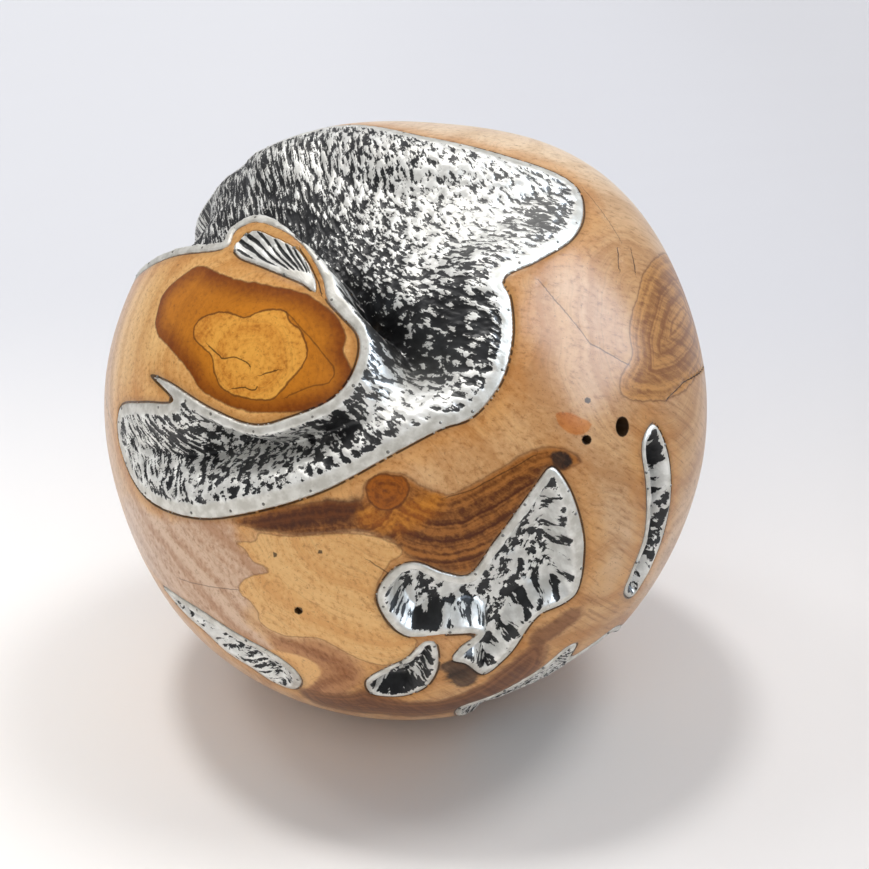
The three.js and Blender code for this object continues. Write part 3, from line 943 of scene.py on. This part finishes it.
def fleck_field(hollow, flat):
    """Fleck pattern and the strokes' own coordinates: layered noise, drawn out along a direction of the
    map, along curves whose direction turns evenly from left to right, y = c - ln(cos(turn + bend x)) /
    bend, up to a steepest one, or along the rays of a fan. A broad noise thins it."""
    spec = hollow.spec
    long, short = spec["fleck"]
    if "sweep" in spec:
        turn, bend = spec["sweep"]
        angle = turn + bend * flat[:, 0]
        held = np.maximum(angle, STEEPEST)
        along = flat[:, 0]
        across = flat[:, 1] + (np.log(np.cos(held)) - np.tan(held) * (angle - held)) / bend
    elif "fan" in spec:
        out = flat - hollow.chart.flatten(sighted([spec["fan"]]))
        along = np.linalg.norm(out, axis=1)
        across = np.arctan2(out[:, 1], out[:, 0]) % (2 * np.pi) * FAN_SPREAD
    else:
        turn = spec["turn"]
        along = flat[:, 0] * math.cos(turn) + flat[:, 1] * math.sin(turn)
        across = flat[:, 1] * math.cos(turn) - flat[:, 0] * math.sin(turn)
    waver = 3 * noise(along / 25 + 9, across / 25, SEEDS["bend"])
    drift = 0.3 * noise(flat[:, 0] / 38 + 5, flat[:, 1] / 38, SEEDS["drift"])
    flecks = layered(along / long + 40, (across + waver) / short + 40, SEEDS["fleck"], 4)
    if "fan" in spec:
        flecks = 0.3 * flecks + 0.4 * np.sin(2 * np.pi * (across + 0.4 * waver) / short)
    return flecks + drift, along / long, (across + waver) / short


def sheet_grid(hollow):
    """Map points, faces and distances of a sheet: a square grid cut off a small gap inside the hollow's
    outline, with the points beside that cut moved onto it."""
    step = hollow.spec["spacing"]
    low = hollow.outline.min(0) - step
    high = hollow.outline.max(0) + step
    columns, rows = (np.arange(low[axis], high[axis], step) for axis in (0, 1))
    flat = np.stack([grid.ravel() for grid in np.meshgrid(columns, rows)], 1)
    distance, nearest = hollow.distance(flat)
    on = np.abs(distance - EDGE_GAP) < 0.6 * step
    inwards = (flat - nearest) / np.where(np.abs(distance) < 1e-6, 1e-6, distance)[:, None]
    flat[on] = nearest[on] + EDGE_GAP * inwards[on]
    distance[on] = EDGE_GAP
    quads = grid_faces(len(columns), len(rows))
    faces = np.concatenate([quads[:, [0, 1, 2]], quads[:, [0, 2, 3]]])
    faces = faces[(distance[faces] > EDGE_GAP - 1e-3).all(1)]
    used, faces = np.unique(faces, return_inverse=True)
    return flat[used], faces.reshape(-1, 3), distance[used]


def lining_piece(name, hollow, material):
    """A lining: grid points over the hollow's map at the ball's radius less the floor's depth, with a
    rounded edge, a slightly raised rim, and the fleck pattern and broad dents as relief inside the
    rim."""
    spec = hollow.spec
    flat, faces, distance = sheet_grid(hollow)
    directions = hollow.chart.unroll(flat)
    past, depth = hollow.floor(flat, directions)
    beaten = smooth(-1.5, 2.5, past + 1.5 * noise(flat[:, 0] / 14, flat[:, 1] / 14, SEEDS["rim"]))
    flecks, stroke_along, stroke_across = fleck_field(hollow, flat)
    dents = noise(flat[:, 0] / 22, flat[:, 1] / 22, SEEDS["dent"])
    relief = beaten * (FLECK_RELIEF * np.tanh(4 * flecks) + DENT_RELIEF * dents)
    relief += (1 - beaten) * RIM_RELIEF * dents
    crown = RIM_CROWN * smooth(0, 2, distance - EDGE_GAP) * (1 - smooth(0, 4, past))
    fall = np.clip(1 - (distance - EDGE_GAP) / EDGE_WIDTH, 0, 1)
    rounded = EDGE_DROP * (1 - np.sqrt(np.maximum(0, 1 - fall**2)))
    radius = ball_radius(directions) - depth + relief + crown - rounded
    # Painted light and shade on the flecks: the hollow's lightness and its shading bumps, a little lighter
    # in the shallow margin and darker deep down; then a darkening just inside the rim
    light = spec["light"] + bumps(directions, spec.get("shade", []))
    light += 0.03 * (1 - smooth(5, 18, depth)) - 0.24 * smooth(30, 75, depth)
    light -= spec.get("sooty", 0.0) * (1 - smooth(2, 14, past))
    blot, worn = (np.minimum(1, bumps(directions, spec.get(key, []))) for key in ("blots", "worn"))
    share = 1.0 if "fan" in spec else 0.6 - 0.35 * blot
    attributes = {
        # Share of silver against black, carrying the painted light and shade; the black greys as a painted
        # sheen where that lightness is high, and in the grey patches
        "polish_and_shade": beaten * (share * flecks + light) + (1 - beaten) * (0.42 + 0.4 * flecks),
        "sheen_grey": np.maximum(smooth(0.06, 0.34, light), worn),
        "rim": 1 - beaten,
        "blot": blot,
        "stroke_along": stroke_along,
        "stroke_across": stroke_across,
    }
    points = directions * radius[:, None]
    title = name.replace("lining", "sheet")
    piece = make_mesh(title, points, faces, material, attributes)
    shell = piece.modifiers.new("sheet", "SOLIDIFY")
    shell.thickness = SHEET * MM
    shell.offset = -1
    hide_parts(name)


def nail_places(hollow, chance):
    """Directions of the nails at uneven steps along a hollow's rim."""
    outline = hollow.outline
    ends = np.roll(outline, -1, 0)
    run = np.linalg.norm(ends - outline, axis=1)
    count = max(3, int(run.sum() / NAIL_STEP))
    share = (np.arange(count) + chance.uniform(0.1, 0.9, count)) / count
    at = np.searchsorted(np.cumsum(run), share * run.sum())
    side = unit(ends[at] - outline[at])
    normal = np.stack([-side[:, 1], side[:, 0]], 1)
    turn = 1 if hollow.distance(outline[at] + normal)[0].mean() > 0 else -1
    inset = hollow.spec["rim"] * chance.uniform(0.4, 0.65, (count, 1))
    return hollow.chart.unroll(outline[at] + turn * inset * normal)


def nails(hollows, material):
    """Nail heads: low domes, rings of points at the profile's shares of radius and rise about each nail's
    place."""
    chance = np.random.default_rng(SEEDS["nails"])
    middles = np.concatenate([nail_places(hollow, chance) for hollow in hollows.values()])
    across = unit(np.cross(middles, [0.3, 0.5, 0.8]))
    along = np.cross(middles, across)
    spread, rise = (np.repeat(shares, NAIL_SIDES) for shares in np.array(NAIL_PROFILE).T)
    corner = np.arange(NAIL_SIDES)
    turn = np.tile(corner * np.pi / (NAIL_SIDES / 2), len(NAIL_PROFILE))
    offset = NAIL_RADIUS * spread
    points = (middles * (ball_radius(middles) + NAIL_LIFT)[:, None])[:, None] + (
        (offset * np.cos(turn))[None, :, None] * across[:, None]
        + (offset * np.sin(turn))[None, :, None] * along[:, None]
        + (NAIL_RISE * rise)[None, :, None] * middles[:, None]
    )
    after = (corner + 1) % NAIL_SIDES
    band = np.stack([corner, corner + NAIL_SIDES, after + NAIL_SIDES, after], 1)
    bands = np.concatenate([band + i * NAIL_SIDES for i in range(len(NAIL_PROFILE) - 1)])
    firsts = np.arange(len(middles)) * NAIL_SIDES * len(NAIL_PROFILE)
    faces = (bands[None] + firsts[:, None, None]).reshape(-1, 4)
    make_mesh("rim_nails", points.reshape(-1, 3), faces, material)


# Far lamps: the direction that their light comes from, power, width in degrees and colour
WARM_WHITE = (1.0, 0.98, 0.95)
SUNS = {
    "ceiling_lamp": ((-0.2, 0.12, 1.0), 1.05, 9, WARM_WHITE),
    "left_lamp": ((-0.6, 0.1, 1.0), 0.25, 12, WARM_WHITE),
    "right_lamp": ((0.42, 0.1, 1.0), 0.85, 18, WARM_WHITE),
    "front_fill": ((-0.1, -1.0, 0.5), 1.0, 60, (1.0, 0.99, 0.97)),
}

# The window's place, size, power and colour, the floor's reach, and the sky's colour, in metres and watts
WINDOW_PLACE = (1.53, -0.21, 1.15)
WINDOW_SIZE = 1.2
WINDOW_POWER = 60.0
WINDOW_COLOUR = (0.68, 0.82, 1.0)
FLOOR_REACH = 24
SKY_COLOUR = (0.95, 0.96, 1.0, 1)

# The camera: focal length and sensor width in millimetres, and the picture's shift
LENS = 74.25
SENSOR = 36
SHIFT_RIGHT = 0.034
SHIFT_UP = -0.020


def facing(aim):
    """Rotation that turns -Z along a direction with +Y up."""
    return Vector(aim).to_track_quat("-Z", "Y").to_euler()


def place_in_scene(name, data):
    """A new object in the scene."""
    made = bpy.data.objects.new(name, data)
    bpy.context.scene.collection.objects.link(made)
    return made


def window(name):
    """A soft square lamp that faces the ball and shows in its sheen alone."""
    data = bpy.data.lights.new(name, "AREA")
    data.size = WINDOW_SIZE
    data.energy = WINDOW_POWER
    data.color = WINDOW_COLOUR
    made = place_in_scene(name, data)
    made.location = WINDOW_PLACE
    made.rotation_euler = facing(np.array([0, 0, CENTRE_HEIGHT * MM]) - np.array(WINDOW_PLACE))
    made.visible_diffuse = False


def sun(name, place, power, width, colour):
    """A far, wide source of light in the direction of a place, as broad as an angle in degrees."""
    data = bpy.data.lights.new(name, "SUN")
    data.energy = power
    data.angle = math.radians(width)
    data.color = colour
    made = place_in_scene(name, data)
    made.rotation_euler = facing(-np.array(place))
    return made


def sky():
    """Sky: bright overhead, a little light from behind, and dim in front."""
    world = bpy.data.worlds.new("sky")
    bpy.context.scene.world = world
    air = Shader(world)
    place = air.node("TexCoord", output="Generated")
    height, depth = (air.node("SeparateXYZ", {"Vector": place}, output=axis) for axis in "ZY")
    overhead = air.ramp(height, 0.1, 0.9, 0.14, 0.42)
    behind = air.ramp(depth, -0.2, 0.8, 0.0, 0.35)
    background = air.tree.nodes["Background"]
    air.put(background.inputs["Color"], SKY_COLOUR)
    air.put(background.inputs["Strength"], air.math("ADD", overhead, behind))


def stage():
    """Floor, lamps, sky and camera."""
    mesh = bpy.data.meshes.new("floor")
    corners = [(-1, -1), (1, -1), (1, 1), (-1, 1)]
    mesh.from_pydata([(x * FLOOR_REACH, y * FLOOR_REACH, 0) for x, y in corners], [], [(0, 1, 2, 3)])
    mesh.materials.append(floor_material())
    place_in_scene("floor", mesh)
    suns = {name: sun(name, *values) for name, values in SUNS.items()}
    suns["front_fill"].visible_glossy = False
    window("right_window")
    sky()
    data = bpy.data.cameras.new("camera")
    data.lens = LENS
    data.sensor_width = SENSOR
    data.shift_x = SHIFT_RIGHT
    data.shift_y = SHIFT_UP
    camera = place_in_scene("camera", data)
    camera.location = (TO_EYE * EYE_DISTANCE + np.array([0, 0, CENTRE_HEIGHT])) * MM
    camera.rotation_euler = facing(-TO_EYE)
    bpy.context.scene.camera = camera
    bpy.context.scene.view_settings.view_transform = "Standard"


hollows = {name: Hollow(spec) for name, spec in HOLLOWS.items()}
wood_piece(hollows, teak_material())
metal = sheet_material()
for name, hollow in hollows.items():
    lining_piece(name, hollow, metal)
nails(hollows, nail_material())
stage()
